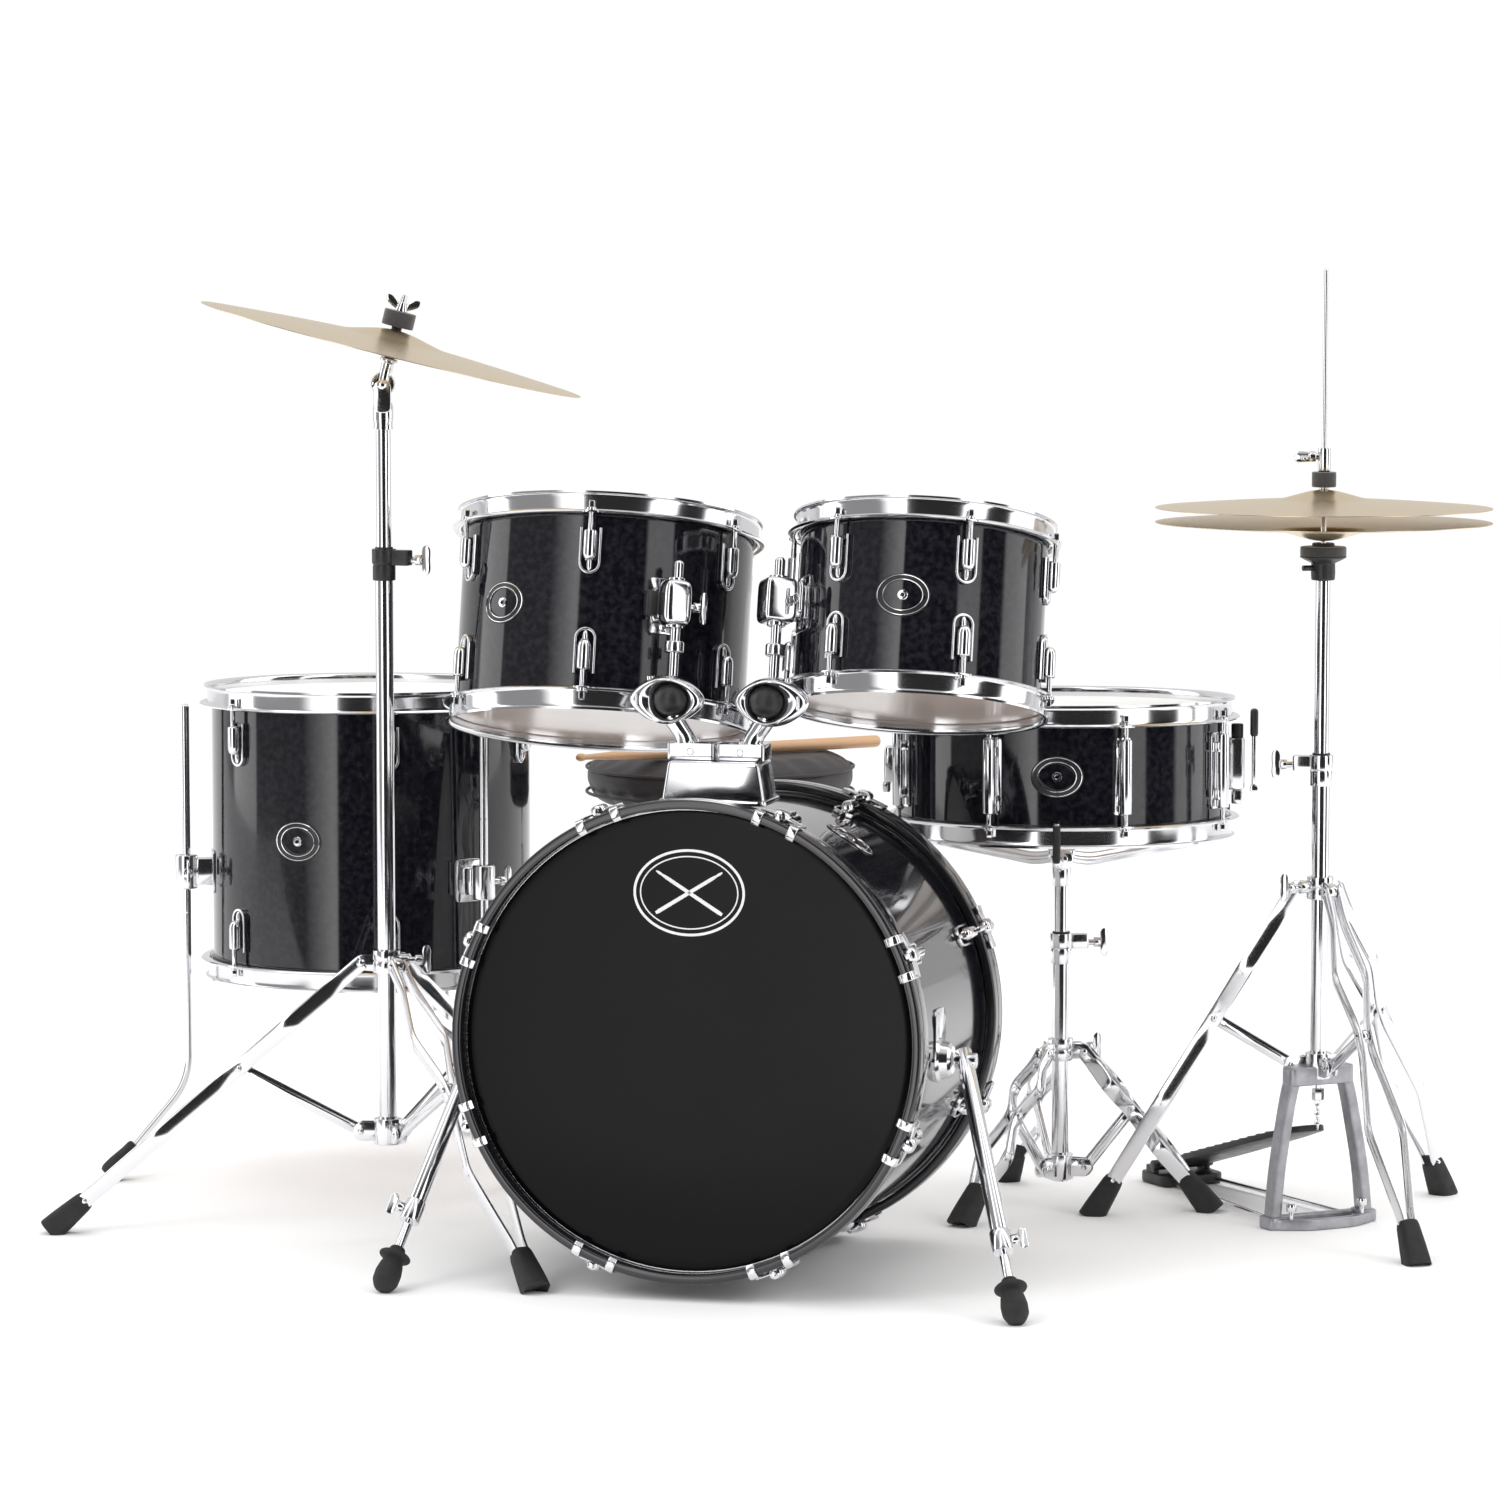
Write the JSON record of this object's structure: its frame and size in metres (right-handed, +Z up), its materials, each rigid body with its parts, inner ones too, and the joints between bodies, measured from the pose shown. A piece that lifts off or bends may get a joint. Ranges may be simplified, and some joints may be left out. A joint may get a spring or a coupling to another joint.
{
  "type": "drum kit",
  "caption": "Acoustic drum kit: black-wrapped bass drum with rack toms, floor tom, snare, hi-hat, crash cymbal, chrome stands, pedals, padded throne and a drumstick.",
  "frame": {"origin": "on the floor, under the middle of the kit's bounding box", "axes": "+Z up, -Y towards the front of the bass drum (the audience), +X to the right seen from the front"},
  "size_m": [1.5376, 1.3254, 1.02],
  "materials": {
    "black_wrap": "gloss black wrap over a wooden shell, clear-coated",
    "chrome": "bright chrome plate",
    "cast_metal": "plain cast metal, satin",
    "coated_film": "white coated drumhead film, fine grain",
    "clear_film": "clear drumhead film",
    "black_film": "gloss black drumhead film",
    "black_hoop": "black lacquered wooden hoop",
    "bronze": "lathed and hammered bronze, brilliant",
    "black_plastic": "black, satin",
    "steel_wire": "coiled steel wire",
    "vinyl": "black grained vinyl over foam",
    "wood": "bare hickory, lightly lacquered"
  },
  "bodies": {
    "kit": {"bass_front_head": "black_film", "bass_front_hoop": "black_hoop", "bass_pedal_frame": "cast_metal", "bass_rear_head": "clear_film", "bass_rear_hoop": "black_hoop", "bass_shell": "black_wrap", "crash_lower_tube": "chrome", "floor_tom_bottom_head": "clear_film", "floor_tom_bottom_hoop": "chrome", "floor_tom_shell": "black_wrap", "floor_tom_top_head": "coated_film", "floor_tom_top_hoop": "chrome", "hihat_stand_base": "chrome", "snare_stand_base": "chrome", "throne_base": "chrome", "tom_mount": "chrome"},
    "left_spur": {"left_spur": "chrome"},
    "right_spur": {"right_spur": "chrome"},
    "left_tom_arm": {"left_tom_arm": "chrome"},
    "left_tom": {"left_tom_bottom_head": "clear_film", "left_tom_bottom_hoop": "chrome", "left_tom_shell": "black_wrap", "left_tom_top_head": "coated_film", "left_tom_top_hoop": "chrome"},
    "right_tom_arm": {"right_tom_arm": "chrome"},
    "right_tom": {"right_tom_bottom_head": "clear_film", "right_tom_bottom_hoop": "chrome", "right_tom_shell": "black_wrap", "right_tom_top_head": "coated_film", "right_tom_top_hoop": "chrome"},
    "bass_footboard": {"bass_footboard": "black_plastic"},
    "bass_beater": {"bass_beater": "chrome"},
    "floor_tom_leg_1": {"floor_tom_leg_1": "chrome"},
    "crash_leg_1": {"crash_leg_1": "chrome"},
    "crash_brace_1": {"crash_brace_1": "chrome"},
    "floor_tom_leg_2": {"floor_tom_leg_2": "chrome"},
    "crash_leg_2": {"crash_leg_2": "chrome"},
    "crash_brace_2": {"crash_brace_2": "chrome"},
    "floor_tom_leg_3": {"floor_tom_leg_3": "chrome"},
    "crash_leg_3": {"crash_leg_3": "chrome"},
    "crash_brace_3": {"crash_brace_3": "chrome"},
    "snare": {"snare_basket": "chrome", "snare_shell": "black_wrap", "snare_top_hoop": "chrome", "snare_bottom_hoop": "chrome", "snare_top_head": "coated_film", "snare_bottom_head": "clear_film", "snare_wires": "steel_wire"},
    "snare_throw_off": {"snare_throw_off_lever": "black_plastic"},
    "hihat_upper": {"hihat_upper_tube": "chrome", "hihat_bottom_cymbal": "bronze"},
    "hihat_rod": {"hihat_pull_rod": "chrome", "hihat_top_cymbal": "bronze"},
    "hihat_footboard": {"hihat_footboard": "black_plastic"},
    "crash_collar": {"crash_collar": "chrome"},
    "crash_upper": {"crash_upper_tube": "chrome"},
    "crash_tilter": {"crash_tilter": "chrome"},
    "crash_cymbal": {"crash_cymbal": "bronze"},
    "throne_seat": {"throne_seat": "vinyl"},
    "drumstick": {"drumstick": "wood"}
  },
  "joints": [
    {"name": "left_spur_fold", "type": "hinge", "parent": "kit", "child": "left_spur", "pos_m": [-0.29433, -0.30212, 0.23041], "axis": [0.9677, -0.2521, 0], "range_deg": [-75, 0]},
    {"name": "right_spur_fold", "type": "hinge", "parent": "kit", "child": "right_spur", "pos_m": [0.1994, -0.43072, 0.23041], "axis": [0.9677, -0.2521, 0], "range_deg": [-75, 0]},
    {"name": "left_tom_tilt", "type": "hinge", "parent": "kit", "child": "left_tom_arm", "pos_m": [-0.0956, -0.35285, 0.58699], "axis": [1, 0, 0], "range_deg": [-5, 8]},
    {"name": "left_tom_height", "type": "slide", "parent": "left_tom_arm", "child": "left_tom", "axis": [0.051, 0.225, 0.973], "range_m": [-0.015, 0.015]},
    {"name": "right_tom_tilt", "type": "hinge", "parent": "kit", "child": "right_tom_arm", "pos_m": [0.00117, -0.37806, 0.58699], "axis": [1, 0, 0], "range_deg": [-5, 8]},
    {"name": "right_tom_height", "type": "slide", "parent": "right_tom_arm", "child": "right_tom", "axis": [0.0575, 0.2419, 0.9686], "range_m": [-0.015, 0.015]},
    {"name": "bass_footboard", "type": "hinge", "parent": "kit", "child": "bass_footboard", "pos_m": [0.10265, 0.20989, 0.024], "axis": [0.9677, -0.2521, 0], "range_deg": [0, 10.2]},
    {"name": "bass_beater", "type": "hinge", "parent": "kit", "child": "bass_beater", "pos_m": [0.02955, -0.07075, 0.215], "axis": [0.9677, -0.2521, 0], "range_deg": [0, 35]},
    {"name": "floor_tom_leg_1_height", "type": "slide", "parent": "kit", "child": "floor_tom_leg_1", "axis": [0, 0, 1], "range_m": [0, 0.15]},
    {"name": "floor_tom_leg_2_height", "type": "slide", "parent": "kit", "child": "floor_tom_leg_2", "axis": [0, 0, 1], "range_m": [0, 0.15]},
    {"name": "floor_tom_leg_3_height", "type": "slide", "parent": "kit", "child": "floor_tom_leg_3", "axis": [0, 0, 1], "range_m": [0, 0.15]},
    {"name": "snare_height", "type": "slide", "parent": "kit", "child": "snare", "axis": [0, 0, 1], "range_m": [-0.02, 0.05]},
    {"name": "snare_throw_off", "type": "hinge", "parent": "snare", "child": "snare_throw_off", "pos_m": [0.52768, 0.00643, 0.45997], "axis": [0.0854, 0.996, -0.0261], "range_deg": [0, 75]},
    {"name": "hihat_height", "type": "slide", "parent": "kit", "child": "hihat_upper", "axis": [0, 0, 1], "range_m": [0, 0.12]},
    {"name": "hihat_rod", "type": "slide", "parent": "hihat_upper", "child": "hihat_rod", "axis": [0, 0, -1], "range_m": [0, 0.011], "stiffness_N_per_m": 700, "springref_m": -0.02},
    {"name": "hihat_footboard", "type": "hinge", "parent": "kit", "child": "hihat_footboard", "pos_m": [0.4666, 0.17231, 0.0215], "axis": [0.9003, 0.4352, 0], "range_deg": [0, 2.33]},
    {"name": "crash_fold", "type": "slide", "parent": "kit", "child": "crash_collar", "axis": [0, 0, 1], "range_m": [0, 0.11]},
    {"name": "crash_leg_1_fold", "type": "hinge", "parent": "crash_collar", "child": "crash_leg_1", "pos_m": [-0.42535, -0.14938, 0.292], "axis": [0.0349, 0.9994, 0], "range_deg": [-26.51, 0]},
    {"name": "crash_brace_1_fold", "type": "hinge", "parent": "kit", "child": "crash_brace_1", "pos_m": [-0.42734, -0.14931, 0.112], "axis": [0.0349, 0.9994, 0], "range_deg": [0, 36.27]},
    {"name": "crash_leg_2_fold", "type": "hinge", "parent": "crash_collar", "child": "crash_leg_2", "pos_m": [-0.38716, -0.17324, 0.292], "axis": [-0.8829, -0.4695, 0], "range_deg": [-26.51, 0]},
    {"name": "crash_brace_2_fold", "type": "hinge", "parent": "kit", "child": "crash_brace_2", "pos_m": [-0.38622, -0.17501, 0.112], "axis": [-0.8829, -0.4695, 0], "range_deg": [0, 36.27]},
    {"name": "crash_leg_3_fold", "type": "hinge", "parent": "crash_collar", "child": "crash_leg_3", "pos_m": [-0.38558, -0.12824, 0.292], "axis": [0.848, -0.5299, 0], "range_deg": [-26.51, 0]},
    {"name": "crash_brace_3_fold", "type": "hinge", "parent": "kit", "child": "crash_brace_3", "pos_m": [-0.38452, -0.12654, 0.112], "axis": [0.848, -0.5299, 0], "range_deg": [0, 36.27]},
    {"name": "crash_height", "type": "slide", "parent": "kit", "child": "crash_upper", "axis": [0, 0, 1], "range_m": [-0.03, 0.12]},
    {"name": "crash_tilt", "type": "hinge", "parent": "crash_upper", "child": "crash_tilter", "pos_m": [-0.39936, -0.15029, 0.9], "axis": [0, 1, 0], "range_deg": [-40, 8]},
    {"name": "crash_rock", "type": "hinge", "parent": "crash_tilter", "child": "crash_cymbal", "pos_m": [-0.38513, -0.15029, 0.95623], "axis": [0, 1, 0], "range_deg": [-7, 7], "stiffness_Nm_per_rad": 2},
    {"name": "throne_spin", "type": "hinge", "parent": "kit", "child": "throne_seat", "pos_m": [-0.05136, 0.50471, 0.335], "axis": [0, 0, 1], "continuous": true},
    {"name": "stick_lift", "type": "slide", "parent": "throne_seat", "child": "drumstick", "axis": [0, 0, 1], "range_m": [0, 0.15]}
  ],
  "couplings": [
    {"joint": "bass_beater", "follows": "bass_footboard", "ratio": 3.4314},
    {"joint": "hihat_footboard", "follows": "hihat_rod", "rad_per_m": 3.7037},
    {"joint": "crash_leg_1_fold", "follows": "crash_fold", "rad_per_m": -4.2064},
    {"joint": "crash_brace_1_fold", "follows": "crash_fold", "rad_per_m": 5.7545},
    {"joint": "crash_leg_2_fold", "follows": "crash_fold", "rad_per_m": -4.2064},
    {"joint": "crash_brace_2_fold", "follows": "crash_fold", "rad_per_m": 5.7545},
    {"joint": "crash_leg_3_fold", "follows": "crash_fold", "rad_per_m": -4.2064},
    {"joint": "crash_brace_3_fold", "follows": "crash_fold", "rad_per_m": 5.7545}
  ]
}
